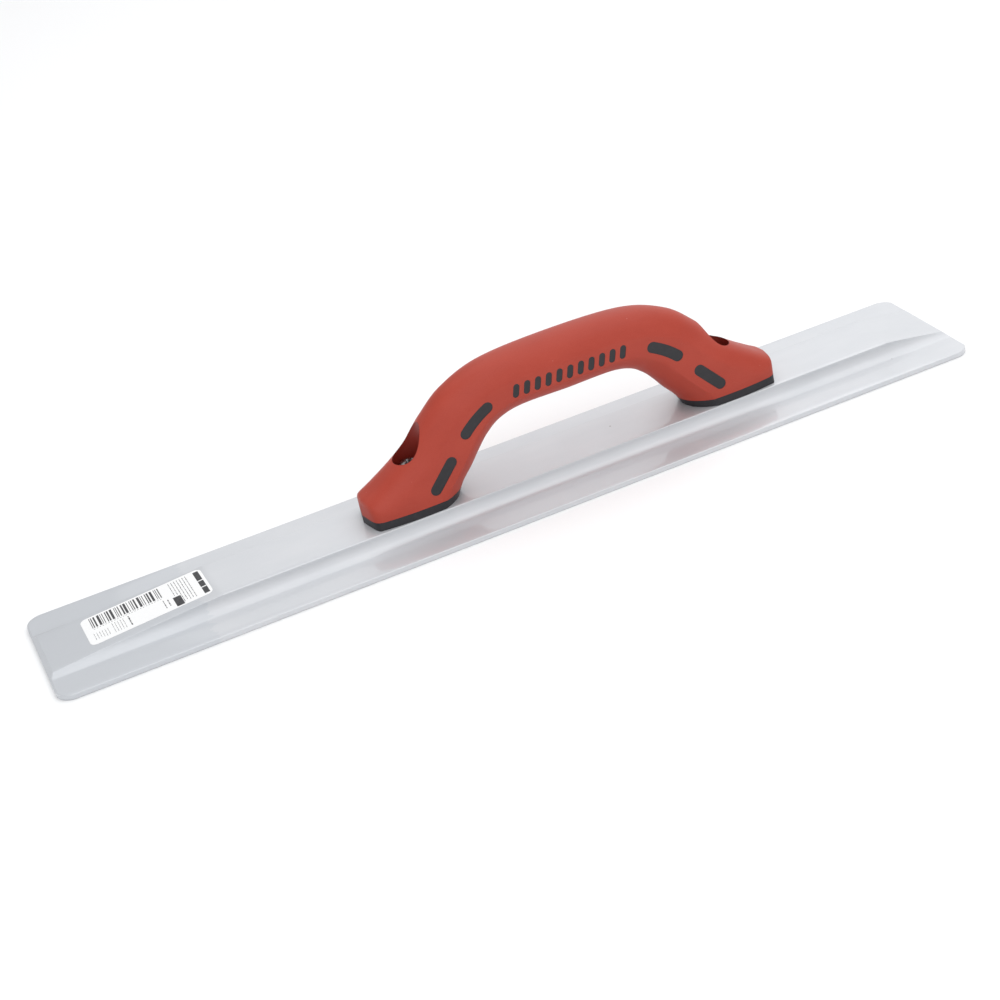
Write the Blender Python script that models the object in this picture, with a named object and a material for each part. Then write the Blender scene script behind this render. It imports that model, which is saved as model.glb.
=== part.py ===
"""Magnesium hand float: an extruded blade with milled ends and a two-shot handle on two screws.

Frame: the origin is the middle of the blade's working face. +X runs along the blade to its heel
(the end nearer the handle), +Y across it, and +Z up from the working face. Lengths are in metres.
"""

from math import atan2, cos, pi, radians, sin, sqrt

import bmesh
import bpy
from mathutils import Matrix, Vector

MM = 0.001
GAP = 0.3 * MM                    # clearance between two pieces that touch

# Blade: a solid extrusion, wide thin flanges on both sides of a raised flat land
BLADE_LENGTH = 508 * MM
BLADE_WIDTH = 79.4 * MM
FLANGE_THICKNESS = 3.0 * MM
LAND_WIDTH = 32.8 * MM
LAND_HEIGHT = 10.4 * MM
ROOT_FILLET = 6.35 * MM           # between the flange and the side of the land
LAND_EDGE_RADIUS = 0.7 * MM
TOP_EDGE_RADIUS = 0.5 * MM
SOLE_EDGE_RADIUS = 0.4 * MM
CORNER_RADIUS = 8.5 * MM          # of the four corners, seen from above
SIDE_CLEARANCE = 0.1 * MM         # the outline that rounds the corners misses the long sides
TOE_RAMP_LENGTH = 90 * MM         # the land is milled down to a ramp at each end
TOE_RAMP_END_HEIGHT = 4.6 * MM
HEEL_RAMP_LENGTH = 38 * MM
HEEL_RAMP_END_HEIGHT = 4.9 * MM
END_FACE_HEIGHT = 2.2 * MM        # both ends are chamfered at 45 degrees above this height

# Handle: measured from its own middle, and up from the land
HANDLE_X = 33.9 * MM              # it sits nearer the heel
BASE_HEIGHT = 4.2 * MM            # black foot plates under the soft grip
SKIN_THICKNESS = 2.4 * MM
FOOT_NOSE = 3.0 * MM              # the foot's outer end comes to a blunt point by this much

# Screws, washers and their counterbores
SCREW_OFFSET = 87.6 * MM          # from the handle's middle
COUNTERBORE_RADIUS = 8.3 * MM
LINER_THICKNESS = 1.4 * MM        # soft grip material that lines each counterbore
SEAT_HEIGHT = 19.3 * MM           # above the land
SCREW_RADIUS = 3.175 * MM
SCREW_ENGAGEMENT = 7.0 * MM       # depth of the screw's tip below the land
SCREW_TIP = 1.0 * MM              # chamfer of the screw's tip
HOLE_SPARE = 0.6 * MM             # the blind hole goes on below the tip, then ends in a drill cone
DRILL_CONE_RADIUS = 0.35 * MM
DRILL_CONE_DEPTH = 1.2 * MM
HEAD_RADIUS = 5.6 * MM
HEAD_HEIGHT = 3.5 * MM
HEAD_SIDE_HEIGHT = 1.6 * MM       # the head's side, below its dome
HEAD_CROWN_RADIUS = 1.4 * MM      # of the circle under the dome's flattest part
HEAD_DOME_ANGLE = radians(75)
HEAD_DOME_STEPS = 4
RECESS_DEPTH = 1.9 * MM
RECESS_WIDTH = 1.5 * MM
RECESS_SPAN = 6.0 * MM
WASHER_RADIUS = 6.9 * MM
WASHER_THICKNESS = 1.2 * MM

# Stock label on the toe ramp
LABEL_LENGTH = 63.5 * MM
LABEL_WIDTH = 25.4 * MM
LABEL_THICKNESS = 0.15 * MM
LABEL_CORNER = 3.2 * MM
LABEL_X = -198.6 * MM
LABEL_Y = 1.9 * MM
LABEL_TURN = radians(0.9)
LABEL_GAP = 0.1 * MM

# Stations of the handle from one foot to its middle, in millimetres:
# outer line (x, z), inner line (x, z), half width, squareness of the outer and the inner side
STATIONS = (
    ((-117.6, 0.0), (-65.4, 0.0), 15.8, 7.0, 2.8),
    ((-117.2, 12.6), (-62.2, 6.6), 15.8, 5.0, 2.8),
    ((-108.0, 18.0), (-55.4, 14.2), 15.3, 3.4, 2.8),
    ((-91.2, 30.4), (-50.7, 20.8), 14.6, 2.8, 2.8),
    ((-77.6, 45.2), (-44.6, 27.0), 14.0, 2.5, 2.8),
    ((-63.2, 56.8), (-36.6, 32.4), 13.8, 2.4, 2.6),
    ((-40.0, 64.8), (-24.5, 34.9), 14.0, 2.3, 2.4),
    ((0.0, 66.8), (0.0, 34.6), 14.2, 2.3, 2.4),
)
STEPS_PER_STATION = 3
SECTION_POINTS = 24

# Inlay bars of the core that show through windows in the grip: (x, z) ends of the centre line in
# millimetres, for the toe side of the handle, and the half width
LOWER_BAR = ((-81.4, 12.2), (-70.8, 23.6), 3.05)
UPPER_BAR = ((-60.0, 35.7), (-53.8, 40.9), (-46.6, 45.3), 3.05)
ROW_BAR_COUNT = 11                # plain upright bars along the middle of the grip
ROW_BAR_PITCH = 6.0 * MM
ROW_BAR_HEIGHT = 7.4 * MM
ROW_BAR_HALF_WIDTH = 1.7 * MM
ROW_BAR_Z = 48.8 * MM
ROW_BAR_LEAN = 0.9 * MM
BAR_END_STEPS = 6

INLAY_RECESS = 0.15 * MM          # the inlay bars lie this far under the grip's surface
WINDOW_FLOOR = 8 * MM             # the windows are cut from the grip's sides in to this distance

# Cutters and circles
ACROSS = 20 * MM                  # half length of cutters that cross the handle
ABOVE = 80 * MM                   # cutters end above the handle
BELOW = 20 * MM                   # and below it
BEYOND = 10 * MM                  # wedge cutters run on past the blade
AROUND = 150 * MM                 # half size of slabs that cover both feet
CAVITY_DROP = 5 * MM              # the grip's cavity runs out through its open underside
WELL_SEGMENTS = 28
HOLE_SEGMENTS = 24
INNER_POINTS = 20                 # points and steps of the sections that don't show
INNER_STEPS = 2


def clear_scene():
    for thing in list(bpy.data.objects):
        bpy.data.objects.remove(thing)


def material(name, colour, roughness, metallic):
    made = bpy.data.materials.new(name)
    made.use_nodes = True
    shader = made.node_tree.nodes["Principled BSDF"]
    shader.inputs["Base Color"].default_value = (*colour, 1.0)
    shader.inputs["Roughness"].default_value = roughness
    shader.inputs["Metallic"].default_value = metallic
    made.diffuse_color = (*colour, 1.0)
    return made


def new_object(name, mesh, finish=None, at=(0, 0, 0)):
    made = bpy.data.objects.new(name, mesh)
    made.location = at
    bpy.context.scene.collection.objects.link(made)
    if finish:
        mesh.materials.append(finish)
    return made


def shade(thing, sharp_angle=35):
    thing.data.shade_smooth()
    thing.data.set_sharp_from_angle(angle=radians(sharp_angle))


def mesh_from(bm, name):
    bmesh.ops.recalc_face_normals(bm, faces=bm.faces)
    mesh = bpy.data.meshes.new(name)
    bm.to_mesh(mesh)
    bm.free()
    return mesh


def loft(name, rings):
    """A closed body through rings that all have the same number of points."""
    bm = bmesh.new()
    made = [[bm.verts.new(point) for point in ring] for ring in rings]
    count = len(rings[0])
    for near, far in zip(made, made[1:]):
        for i in range(count):
            j = (i + 1) % count
            bm.faces.new((near[i], near[j], far[j], far[i]))
    bm.faces.new(made[0])
    bm.faces.new(made[-1])
    return mesh_from(bm, name)


def prism(name, outline, axis, low, high):
    """A closed body: a flat outline drawn along one axis (0, 1 or 2) from low to high."""
    def place(point, level):
        u, v = point
        return ((level, u, v), (u, level, v), (u, v, level))[axis]
    return loft(name, [[place(point, level) for point in outline] for level in (low, high)])


def turned(name, profile, segments=32):
    """A closed body of revolution about Z from a closed (radius, z) outline off the axis."""
    bm = bmesh.new()
    columns = []
    for i in range(segments):
        angle = 2 * pi * i / segments
        columns.append([bm.verts.new((r * cos(angle), r * sin(angle), z)) for r, z in profile])
    for i, column in enumerate(columns):
        beside = columns[(i + 1) % segments]
        for k in range(len(profile)):
            m = (k + 1) % len(profile)
            bm.faces.new((column[k], beside[k], beside[m], column[m]))
    return mesh_from(bm, name)


def disc_rings(profile, segments=32):
    """Rings of an upright round body from (radius, z) pairs, bottom to top."""
    return [[(r * cos(2 * pi * i / segments), r * sin(2 * pi * i / segments), z)
             for i in range(segments)] for r, z in profile]


def arc(centre, radius, start, end, steps):
    """Points along an arc, in degrees."""
    points = []
    for i in range(steps + 1):
        angle = radians(start + (end - start) * i / steps)
        points.append((centre[0] + radius * cos(angle), centre[1] + radius * sin(angle)))
    return points


def boolean(thing, cutter, operation):
    """Apply one exact Boolean to an object's mesh and drop the cutter."""
    modifier = thing.modifiers.new("cut", "BOOLEAN")
    modifier.object = cutter
    modifier.operation = operation
    modifier.solver = "EXACT"
    bpy.context.view_layer.update()
    shaped = thing.evaluated_get(bpy.context.evaluated_depsgraph_get())
    mesh = bpy.data.meshes.new_from_object(shaped)
    thing.modifiers.clear()
    thing.data = mesh
    bpy.data.objects.remove(cutter)


def cut(thing, mesh, at=(0, 0, 0)):
    boolean(thing, new_object("cutter", mesh, at=at), "DIFFERENCE")


def join(thing, mesh, at=(0, 0, 0)):
    boolean(thing, new_object("addition", mesh, at=at), "UNION")


def keep(thing, mesh, at=(0, 0, 0)):
    boolean(thing, new_object("limit", mesh, at=at), "INTERSECT")


def clean(thing):
    """Weld the slivers that a Boolean leaves and make every face a triangle."""
    bm = bmesh.new()
    bm.from_mesh(thing.data)
    bmesh.ops.remove_doubles(bm, verts=bm.verts, dist=0.00001)
    bmesh.ops.dissolve_degenerate(bm, edges=bm.edges, dist=0.000005)
    bmesh.ops.triangulate(bm, faces=bm.faces)
    bm.to_mesh(thing.data)
    bm.free()


# ---------------------------------------------------------------- blade

def blade_profile():
    """The extrusion's (y, z) outline, drawn for the +Y half and mirrored."""
    half = BLADE_WIDTH / 2
    land = LAND_WIDTH / 2
    sole, top, crest = SOLE_EDGE_RADIUS, TOP_EDGE_RADIUS, LAND_EDGE_RADIUS
    right = arc((half - sole, sole), sole, -90, 0, 2)
    right += arc((half - top, FLANGE_THICKNESS - top), top, 0, 90, 4)
    right += arc((land + ROOT_FILLET, FLANGE_THICKNESS + ROOT_FILLET), ROOT_FILLET, 270, 180, 9)
    right += arc((land - crest, LAND_HEIGHT - crest), crest, 0, 90, 3)
    left = [(-y, z) for y, z in reversed(right)]
    return right + left


def plan_outline(length, width, radius, steps=8):
    """A rectangle with round corners."""
    x, y = length / 2 - radius, width / 2 - radius
    corners = ((x, y, 0), (-x, y, 90), (-x, -y, 180), (x, -y, 270))
    points = []
    for cx, cy, start in corners:
        points += arc((cx, cy), radius, start, start + 90, steps)
    return points


def ramp_cutter(end, ramp_length, end_height):
    """A wedge above the ramp at one end of the land; end is -1 for the toe and +1 for the heel."""
    outer = end * BLADE_LENGTH / 2
    inner = outer - end * ramp_length
    fall = (LAND_HEIGHT - end_height) / ramp_length
    outline = [(inner - end * BEYOND, LAND_HEIGHT + BEYOND * fall),
               (outer + end * BEYOND, end_height - BEYOND * fall),
               (outer + end * BEYOND, LAND_HEIGHT + BEYOND),
               (inner - end * BEYOND, LAND_HEIGHT + BEYOND)]
    return prism("ramp_cutter", outline, 1, -BLADE_WIDTH / 2, BLADE_WIDTH / 2)


def chamfer_cutter(end):
    """A wedge over one whole end of the blade that leaves a 45 degree chamfer."""
    face = end * BLADE_LENGTH / 2
    outline = [(face + end * BEYOND, END_FACE_HEIGHT - BEYOND),
               (face + end * BEYOND, END_FACE_HEIGHT + BEYOND),
               (face - end * BEYOND, END_FACE_HEIGHT + BEYOND)]
    return prism("chamfer_cutter", outline, 1, -BLADE_WIDTH, BLADE_WIDTH)


def make_blade(finish):
    half = BLADE_LENGTH / 2 + MM
    blade = new_object("blade", prism("blade", blade_profile(), 0, -half, half), finish)
    cut(blade, ramp_cutter(-1, TOE_RAMP_LENGTH, TOE_RAMP_END_HEIGHT))
    cut(blade, ramp_cutter(1, HEEL_RAMP_LENGTH, HEEL_RAMP_END_HEIGHT))
    for end in (-1, 1):
        cut(blade, chamfer_cutter(end))
    outline = plan_outline(BLADE_LENGTH, BLADE_WIDTH + 2 * SIDE_CLEARANCE, CORNER_RADIUS)
    keep(blade, prism("outline", outline, 2, -MM, LAND_HEIGHT + MM))
    bottom = LAND_HEIGHT - SCREW_ENGAGEMENT - HOLE_SPARE
    radius = SCREW_RADIUS + GAP
    hole = [(DRILL_CONE_RADIUS, bottom - DRILL_CONE_DEPTH), (radius, bottom),
            (radius, LAND_HEIGHT + MM)]
    for side in (-1, 1):
        place = (HANDLE_X + side * SCREW_OFFSET, 0, 0)
        cut(blade, loft("hole", disc_rings(hole, HOLE_SEGMENTS)), at=place)
    clean(blade)
    shade(blade)
    return blade


# ---------------------------------------------------------------- handle

def signed_power(value, power):
    return (abs(value) ** power) * (1 if value >= 0 else -1)


def station_values():
    """All stations from the toe foot to the heel foot as flat rows, in metres."""
    half = []
    for (ox, oz), (ix, iz), width, outer_square, inner_square in STATIONS:
        half.append([ox * MM, oz * MM, ix * MM, iz * MM, width * MM, outer_square, inner_square])
    mirrored = [[-r[0], r[1], -r[2], r[3], r[4], r[5], r[6]] for r in reversed(half[:-1])]
    return half + mirrored


def blend_rows(rows, index, t):
    """A smooth curve through the rows; the blunt end of each foot keeps its corner."""
    last = len(rows) - 1
    a, b = rows[index], rows[index + 1]
    if index in (0, last - 1):
        return [p + (q - p) * t for p, q in zip(a, b)]
    before = a if index == 1 else rows[index - 1]
    after = b if index == last - 2 else rows[index + 2]
    values = []
    for p0, p, q, q1 in zip(before, a, b, after):
        leave = q - p if index == 1 else (q - p0) / 2
        arrive = q - p if index == last - 2 else (q1 - p) / 2
        values.append((2 * t ** 3 - 3 * t ** 2 + 1) * p + (t ** 3 - 2 * t ** 2 + t) * leave
                      + (3 * t ** 2 - 2 * t ** 3) * q + (t ** 3 - t ** 2) * arrive)
    return values


def section(row, inset, count, nose):
    """One ring of the handle: a rounded section between the outer and the inner line."""
    ox, oz, ix, iz, width, outer_square, inner_square = row
    middle = Vector(((ox + ix) / 2, 0, (oz + iz) / 2))
    reach = Vector(((ox - ix) / 2, 0, (oz - iz) / 2))
    direction = reach.normalized()
    depth = reach.length - inset
    breadth = width - inset
    ring = []
    for i in range(count):
        angle = 2 * pi * i / count
        square = outer_square if cos(angle) >= 0 else inner_square
        along = signed_power(cos(angle), 2 / square)
        across = signed_power(sin(angle), 2 / square)
        point = middle + direction * depth * along + Vector((0, breadth * across, 0))
        if along > 0:
            point -= direction * nose * along * abs(across)
        ring.append(point)
    return ring


def handle_rings(inset=0.0, count=SECTION_POINTS, steps=STEPS_PER_STATION, drop=0.0):
    """Rings of the whole handle, shrunk by inset; drop lengthens both feet downwards."""
    rows = station_values()
    spans = len(rows) - 1
    rings = []
    for index in range(spans):
        for step in range(steps):
            row = blend_rows(rows, index, step / steps)
            from_end = min(index + step / steps, spans - index - step / steps)
            nose = FOOT_NOSE * max(0.0, 1 - from_end / 2)
            rings.append(section(row, inset, count, nose))
    rings.append(section(rows[-1], inset, count, FOOT_NOSE))
    if drop:
        below = Vector((0, 0, -drop))
        rings.insert(0, [point + below for point in rings[0]])
        rings.append([point + below for point in rings[-1]])
    return rings


def slab(low, high):
    """A box across both feet between two heights above the land."""
    outline = [(-AROUND, -AROUND), (AROUND, -AROUND), (AROUND, AROUND), (-AROUND, AROUND)]
    return prism("slab", outline, 2, low, high)


def bar_outline(points, half_width):
    """A bar with round ends around a centre line of (x, z) points."""
    line = [Vector(point) for point in points]
    start, end = line[1] - line[0], line[-1] - line[-2]
    first = atan2(start.y, start.x)
    final = atan2(end.y, end.x)
    left, right = [], []
    for i in range(1, len(line) - 1):
        along = (line[i + 1] - line[i - 1]).normalized()
        beside = Vector((-along.y, along.x)) * half_width
        left.append(tuple(line[i] + beside))
        right.append(tuple(line[i] - beside))
    outline = []
    for i in range(BAR_END_STEPS + 1):
        angle = first + pi / 2 + pi * i / BAR_END_STEPS
        outline.append((line[0].x + half_width * cos(angle), line[0].y + half_width * sin(angle)))
    outline += right
    for i in range(BAR_END_STEPS + 1):
        angle = final - pi / 2 + pi * i / BAR_END_STEPS
        outline.append((line[-1].x + half_width * cos(angle), line[-1].y + half_width * sin(angle)))
    return outline + left[::-1]


def bar_lines():
    """Centre line and half width of every inlay bar on one side of the handle."""
    bars = []
    for *points, half_width in (LOWER_BAR, UPPER_BAR):
        for side in (1, -1):
            bars.append(([(side * x * MM, z * MM) for x, z in points], half_width * MM))
    rise = ROW_BAR_HEIGHT / 2 - ROW_BAR_HALF_WIDTH
    for i in range(ROW_BAR_COUNT):
        x = (i - (ROW_BAR_COUNT - 1) / 2) * ROW_BAR_PITCH
        ends = [(x - ROW_BAR_LEAN / 2, ROW_BAR_Z - rise), (x + ROW_BAR_LEAN / 2, ROW_BAR_Z + rise)]
        bars.append((ends, ROW_BAR_HALF_WIDTH))
    return bars


def make_grip_skin(finish):
    at = (HANDLE_X, 0, LAND_HEIGHT)
    skin = new_object("grip_skin", loft("grip_skin", handle_rings()), finish, at)
    lining = SEAT_HEIGHT + GAP
    inner = handle_rings(SKIN_THICKNESS, INNER_POINTS, INNER_STEPS, CAVITY_DROP)
    cavity = new_object("cavity", loft("cavity", inner), at=at)
    outer = COUNTERBORE_RADIUS + LINER_THICKNESS
    for side in (-1, 1):
        liner = disc_rings([(outer, lining), (outer, ABOVE)], WELL_SEGMENTS)
        cut(cavity, loft("liner", liner), at=(HANDLE_X + side * SCREW_OFFSET, 0, LAND_HEIGHT))
    boolean(skin, cavity, "DIFFERENCE")
    cut(skin, slab(-BELOW, BASE_HEIGHT + GAP), at=at)
    for side in (-1, 1):
        bore = disc_rings([(COUNTERBORE_RADIUS, MM), (COUNTERBORE_RADIUS, ABOVE)], WELL_SEGMENTS)
        cut(skin, loft("bore", bore), at=(HANDLE_X + side * SCREW_OFFSET, 0, LAND_HEIGHT))
    for points, half_width in bar_lines():
        outline = bar_outline(points, half_width)
        for low, high in ((WINDOW_FLOOR, ACROSS), (-ACROSS, -WINDOW_FLOOR)):
            cut(skin, prism("window", outline, 1, low, high), at=at)
    clean(skin)
    shade(skin, 40)
    return skin


def make_handle_core(finish):
    at = (HANDLE_X, 0, LAND_HEIGHT)
    inner = handle_rings(SKIN_THICKNESS + GAP, INNER_POINTS, INNER_STEPS)
    core = new_object("handle_core", loft("handle_core", inner), finish, at)
    cut(core, slab(-BELOW, BASE_HEIGHT / 2), at=at)
    feet = new_object("feet", loft("feet", handle_rings()), at=at)
    keep(feet, slab(GAP, BASE_HEIGHT), at=at)
    boolean(core, feet, "UNION")
    inlays = new_object("inlays", loft("inlays", handle_rings(INLAY_RECESS)), at=at)
    keep(inlays, bar_set(), at=at)
    boolean(core, inlays, "UNION")
    wide, narrow = COUNTERBORE_RADIUS + LINER_THICKNESS + GAP, SCREW_RADIUS + GAP
    seat = [(wide, SEAT_HEIGHT), (wide, ABOVE)]
    clearance = [(narrow, -BELOW), (narrow, SEAT_HEIGHT + MM)]
    for side in (-1, 1):
        place = (HANDLE_X + side * SCREW_OFFSET, 0, LAND_HEIGHT)
        cut(core, loft("seat", disc_rings(seat, WELL_SEGMENTS)), at=place)
        cut(core, loft("clearance", disc_rings(clearance, HOLE_SEGMENTS)), at=place)
    clean(core)
    shade(core, 40)
    return core


def bar_set():
    """Every inlay bar as one mesh of separate prisms, a little smaller than its window."""
    bm = bmesh.new()
    for points, half_width in bar_lines():
        mesh = prism("bar", bar_outline(points, half_width - GAP), 1, -ACROSS, ACROSS)
        bm.from_mesh(mesh)
        bpy.data.meshes.remove(mesh)
    return mesh_from(bm, "bars")


# ---------------------------------------------------------------- fasteners and label

def make_washer(name, x, finish):
    inner = SCREW_RADIUS + GAP
    profile = [(inner, 0), (WASHER_RADIUS, 0), (WASHER_RADIUS, WASHER_THICKNESS),
               (inner, WASHER_THICKNESS)]
    washer = new_object(name, turned(name, profile, WELL_SEGMENTS), finish,
                        (x, 0, LAND_HEIGHT + SEAT_HEIGHT + GAP))
    shade(washer)
    return washer


def make_screw(name, x, finish):
    """A pan head screw; its origin is under the head."""
    under_head = SEAT_HEIGHT + WASHER_THICKNESS + 2 * GAP
    shank = under_head + SCREW_ENGAGEMENT
    profile = [(SCREW_RADIUS - SCREW_TIP, -shank), (SCREW_RADIUS, -shank + SCREW_TIP),
               (SCREW_RADIUS, 0), (HEAD_RADIUS, 0), (HEAD_RADIUS, HEAD_SIDE_HEIGHT)]
    for i in range(1, HEAD_DOME_STEPS + 1):
        angle = HEAD_DOME_ANGLE * i / HEAD_DOME_STEPS
        rise = sin(angle) / sin(HEAD_DOME_ANGLE)
        profile.append((HEAD_CROWN_RADIUS + (HEAD_RADIUS - HEAD_CROWN_RADIUS) * cos(angle),
                        HEAD_SIDE_HEIGHT + (HEAD_HEIGHT - HEAD_SIDE_HEIGHT) * rise))
    screw = new_object(name, loft(name, disc_rings(profile, HOLE_SEGMENTS)), finish,
                       (x, 0, LAND_HEIGHT + under_head))
    half, wide = RECESS_SPAN / 2, RECESS_WIDTH / 2
    cross = [(half, -wide), (half, wide), (wide, wide), (wide, half), (-wide, half), (-wide, wide),
             (-half, wide), (-half, -wide), (-wide, -wide), (-wide, -half), (wide, -half),
             (wide, -wide)]
    recess = prism("recess", cross, 2, HEAD_HEIGHT - RECESS_DEPTH, HEAD_HEIGHT + MM)
    cut(screw, recess, at=(x, 0, LAND_HEIGHT + under_head))
    clean(screw)
    shade(screw)
    return screw


def make_label(finish):
    """A thin plate that lies on the toe ramp."""
    fall = (LAND_HEIGHT - TOE_RAMP_END_HEIGHT) / TOE_RAMP_LENGTH
    ramp_start = -BLADE_LENGTH / 2 + TOE_RAMP_LENGTH
    height = LAND_HEIGHT - (ramp_start - LABEL_X) * fall
    outline = plan_outline(LABEL_LENGTH, LABEL_WIDTH, LABEL_CORNER, 5)
    lift = LABEL_GAP * sqrt(1 + fall * fall)
    label = new_object("label", prism("label", outline, 2, 0, LABEL_THICKNESS), finish)
    tilt = Matrix.Rotation(-atan2(fall, 1), 4, "Y")
    turn = Matrix.Rotation(LABEL_TURN, 4, "Z")
    label.matrix_world = Matrix.Translation((LABEL_X, LABEL_Y, height + lift)) @ tilt @ turn
    return label


def main():
    clear_scene()
    magnesium = material("magnesium", (0.72, 0.74, 0.78), 0.28, 1.0)
    hard_plastic = material("core_plastic", (0.035, 0.033, 0.038), 0.45, 0.0)
    soft_grip = material("grip_elastomer", (0.46, 0.065, 0.045), 0.5, 0.0)
    zinc = material("plated_steel", (0.6, 0.6, 0.62), 0.3, 1.0)
    paper = material("label_paper", (0.86, 0.86, 0.85), 0.5, 0.0)
    make_blade(magnesium)
    make_handle_core(hard_plastic)
    make_grip_skin(soft_grip)
    for end, side in (("toe", -1), ("heel", 1)):
        x = HANDLE_X + side * SCREW_OFFSET
        make_washer("washer_" + end, x, zinc)
        make_screw("screw_" + end, x, zinc)
    make_label(paper)


main()
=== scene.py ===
"""Looks of the magnesium hand float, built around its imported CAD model.

The blade, the two-shot handle, the fasteners and the label are rebuilt here as fine surfaces inside the
CAD model's box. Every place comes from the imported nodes' boxes. Lengths are in metres.
"""

from math import atan2, cos, pi, radians, sin, sqrt

import bmesh
import bpy
from mathutils import Matrix, Vector


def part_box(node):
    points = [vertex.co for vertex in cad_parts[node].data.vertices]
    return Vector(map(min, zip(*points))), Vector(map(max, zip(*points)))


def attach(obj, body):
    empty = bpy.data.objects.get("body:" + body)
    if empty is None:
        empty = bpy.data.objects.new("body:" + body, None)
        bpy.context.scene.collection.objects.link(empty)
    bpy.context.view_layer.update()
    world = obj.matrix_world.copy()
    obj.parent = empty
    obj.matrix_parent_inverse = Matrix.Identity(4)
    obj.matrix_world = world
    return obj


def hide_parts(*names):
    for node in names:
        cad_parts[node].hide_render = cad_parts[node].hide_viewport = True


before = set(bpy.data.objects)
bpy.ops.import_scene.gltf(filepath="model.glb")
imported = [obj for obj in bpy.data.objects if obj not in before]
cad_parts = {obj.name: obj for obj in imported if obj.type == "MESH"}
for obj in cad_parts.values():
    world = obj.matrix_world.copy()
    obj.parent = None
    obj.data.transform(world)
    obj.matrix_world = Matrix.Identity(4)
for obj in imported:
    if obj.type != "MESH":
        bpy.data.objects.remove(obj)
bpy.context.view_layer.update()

MM = 0.001

# ---------------------------------------------------------------- places read from the frame

blade_low, blade_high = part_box("blade")
skin_low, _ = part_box("grip_skin")
core_low, core_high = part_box("handle_core")

BLADE_LENGTH = blade_high.x - blade_low.x
BLADE_WIDTH = blade_high.y - blade_low.y
LAND_Z = blade_high.z
HANDLE_X = (core_low.x + core_high.x) / 2
SKIN_BOTTOM = skin_low.z - LAND_Z
SCREW_ENDS = ("toe", "heel")

# ---------------------------------------------------------------- sizes that the boxes don't give

FLANGE = 3.0 * MM
LAND_HALF = 16.4 * MM
ROOT_FILLET = 6.35 * MM
LAND_EDGE = 0.7 * MM
MILLED_EDGE = 0.2 * MM
TOP_EDGE = 0.5 * MM
SOLE_EDGE = 0.4 * MM
END_FACE = 2.2 * MM                     # the ends are chamfered at 45 degrees above this height
CORNER = 8.5 * MM
TOE_RAMP = (90 * MM, 4.6 * MM)          # length, height at the end
HEEL_RAMP = (38 * MM, 4.9 * MM)

SKIN_THICKNESS = 2.4 * MM
FOOT_NOSE = 3.4 * MM
WELL_RADIUS = 8.3 * MM
LINER = 1.4 * MM
CORE_GAP = 0.3 * MM                     # between the core and the soft grip inside
CORE_LIFT = 2.0 * MM                    # the core's arch starts this high above the land
FOOT_LIFT = 0.1 * MM                    # the feet stand this high above the land
BELOW_LAND = 20 * MM                    # cutters reach this far below the land
SKIRT = 5 * MM                          # the skin's cavity runs this far below the feet
WELL_TOP = 100 * MM                     # well cutters end here, above the whole handle
HALF_SPAN = 150 * MM                    # the slab cutter is longer and wider than the handle
HALF_SPREAD = 100 * MM
BAR_RECESS = 0.12 * MM                  # the inlay bars lie a hair under the soft grip
BAR_INNER = 8 * MM                      # the windows run from here out past the handle's side
BAR_OUTER = 20 * MM
HAIR_GAP = 0.04 * MM

SCREW_HOLE_RADIUS = 3.475 * MM          # in the blade
HOLE_POINT_RADIUS = 0.4 * MM
HOLE_SPARE = 0.6 * MM                   # the hole goes this far past the screw's tip
WASHER_HOLE_RADIUS = 3.5 * MM           # in the washers and through the core's seats
WASHER_EDGE = 0.2 * MM
SEAT_SLACK = 0.05 * MM

THREAD_ROOT = 2.75 * MM                 # radii and pitch of the ridges on the screw's shank
THREAD_CREST = 3.15 * MM
THREAD_PITCH = 1.27 * MM
PLAIN_SHANK = 1.5 * MM                  # length without ridges under the head
TIP_RADIUS = 1.9 * MM
TIP_HEIGHT = 0.8 * MM
HEAD_HEIGHT = 3.5 * MM
HEAD_SIDE = 1.5 * MM                    # the head's side, below its dome
HEAD_EDGE = 0.3 * MM
HEAD_DOME = 2.0 * MM
HEAD_FLAT = 0.18                        # share of the head's radius under the dome's top
HEAD_DOME_ANGLE = radians(80)
HEAD_DOME_STEPS = 10

RECESS_REACH = 3.0 * MM                 # half length of the cross recess in the screw heads
RECESS_HALF_WIDTH = 0.75 * MM
RECESS_DEPTH = 1.9 * MM
RECESS_LIP = 0.2 * MM
RECESS_TAPER = (0.45, 0.6)              # share of its length and width at the bottom
RECESS_TURN = radians(25)

# Stations of the handle from the toe foot to its middle, in millimetres: outer line (x, z), inner line
# (x, z), half width and how far the crown's sides droop. Then, along the section (1 outer, -1 inner) and as
# shares of its width: where the side panel's upper crease lies, how wide the section is there, where its
# lower crease lies, how flat the crown and the underside are, and how square the crown is.
STATIONS = (
    (-117.6, 0.0, -65.6, 0.0, 15.8, 0.0, 0.95, 0.87, -0.50, 0.2, 0.5, 6.5),
    (-117.2, 12.8, -61.8, 6.6, 15.8, 7.5, 0.55, 0.95, -0.52, 0.6, 0.8, 4.8),
    (-108.0, 18.2, -55.2, 14.2, 15.3, 3.5, 0.46, 0.96, -0.50, 1.1, 1.1, 3.0),
    (-91.2, 30.4, -50.2, 20.8, 14.6, 0.6, 0.41, 0.97, -0.46, 1.5, 1.2, 2.3),
    (-77.6, 45.2, -44.4, 27.0, 14.0, 0.0, 0.36, 0.97, -0.42, 1.5, 1.2, 2.1),
    (-63.2, 56.8, -36.6, 32.2, 13.8, 0.0, 0.34, 0.97, -0.40, 1.3, 1.1, 2.1),
    (-40.0, 64.8, -24.5, 34.8, 14.0, 0.0, 0.30, 0.975, -0.38, 0.8, 1.0, 2.2),
    (0.0, 66.8, 0.0, 34.6, 14.2, 0.0, 0.27, 0.975, -0.38, 0.6, 0.9, 2.2),
)
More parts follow.
